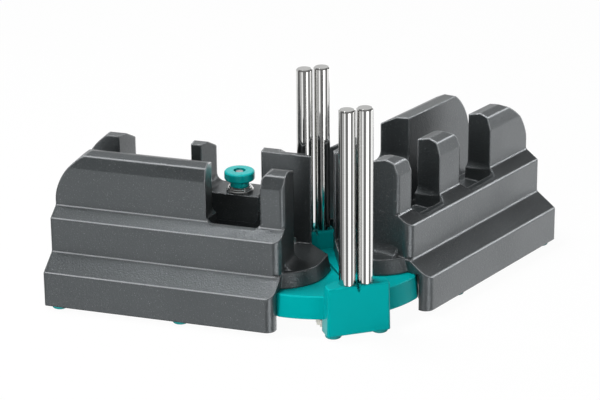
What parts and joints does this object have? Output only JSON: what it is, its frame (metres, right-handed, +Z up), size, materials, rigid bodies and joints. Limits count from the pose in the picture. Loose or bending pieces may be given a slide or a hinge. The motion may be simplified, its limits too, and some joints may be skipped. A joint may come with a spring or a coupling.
{
  "type": "miter box",
  "caption": "Swivelling miter box: stepped channel arms fold together round a turntable, with steel pins that guide the saw and a clamp knob.",
  "frame": {"origin": "on the table, under the turning axis of both arms, in the saw plane", "axes": "+Z up, saw plane X = 0, +X to the right arm, front (-Y) is the side of the wide block"},
  "size_m": [0.3376, 0.1895, 0.1419],
  "materials": {
    "grey_housing": "dark grey, fine moulded grain, satin",
    "teal_plastic": "teal, semi-gloss moulding",
    "teal_rubber": "teal rubber, matte",
    "ground_steel": "ground and polished",
    "zinc_steel": "bright zinc plate",
    "brass_insert": "machined",
    "gear_nylon": "natural nylon"
  },
  "bodies": {
    "base": {"base_turntable": "teal_plastic", "base_feet": "teal_rubber", "guide_pin_front_left": "ground_steel", "guide_pin_front_right": "ground_steel", "guide_pin_rear_left": "ground_steel", "guide_pin_rear_right": "ground_steel", "pivot_bolt": "zinc_steel", "hub_spacer": "zinc_steel", "left_idler_axle": "zinc_steel", "right_idler_axle": "zinc_steel"},
    "left_arm": {"left_housing": "grey_housing", "left_feet": "teal_rubber", "left_swivel_plate": "zinc_steel", "left_plate_screws": "zinc_steel", "knob_washer": "zinc_steel"},
    "right_arm": {"right_housing": "grey_housing", "right_feet": "teal_rubber", "right_swivel_plate": "zinc_steel", "right_plate_screws": "zinc_steel"},
    "left_idler": {"left_idler_gear": "gear_nylon"},
    "right_idler": {"right_idler_gear": "gear_nylon"},
    "knob": {"clamp_knob": "teal_plastic", "knob_insert": "brass_insert"},
    "clamp": {"clamp_bolt": "zinc_steel", "clamp_shoe": "zinc_steel"}
  },
  "joints": [
    {"name": "left_swing", "type": "hinge", "parent": "base", "child": "left_arm", "pos_m": [0, 0, 0.0305], "axis": [0, 0, 1], "range_deg": [-11.8, 35.7]},
    {"name": "right_swing", "type": "hinge", "parent": "base", "child": "right_arm", "pos_m": [0, 0, 0.0305], "axis": [0, 0, 1], "range_deg": [-35.7, 11.8]},
    {"name": "left_idler_turn", "type": "hinge", "parent": "base", "child": "left_idler", "pos_m": [-0.0096, -0.02715, 0.005], "axis": [0, 0, 1], "range_deg": [-71.4, 23.6]},
    {"name": "right_idler_turn", "type": "hinge", "parent": "base", "child": "right_idler", "pos_m": [0.0096, -0.02715, 0.007], "axis": [0, 0, 1], "range_deg": [-23.6, 71.4]},
    {"name": "knob_turn", "type": "hinge", "parent": "left_arm", "child": "knob", "pos_m": [-0.04293, 0.05609, 0.066], "axis": [0, 0, 1], "range_deg": [0, 360]},
    {"name": "clamp_lift", "type": "slide", "parent": "left_arm", "child": "clamp", "axis": [0, 0, 1], "range_m": [-0.001, 0]}
  ],
  "couplings": [
    {"joint": "right_swing", "follows": "left_swing", "ratio": -1},
    {"joint": "left_idler_turn", "follows": "left_swing", "ratio": -2},
    {"joint": "right_idler_turn", "follows": "left_swing", "ratio": 2},
    {"joint": "knob_turn", "follows": "clamp_lift", "rad_per_m": -6283}
  ]
}
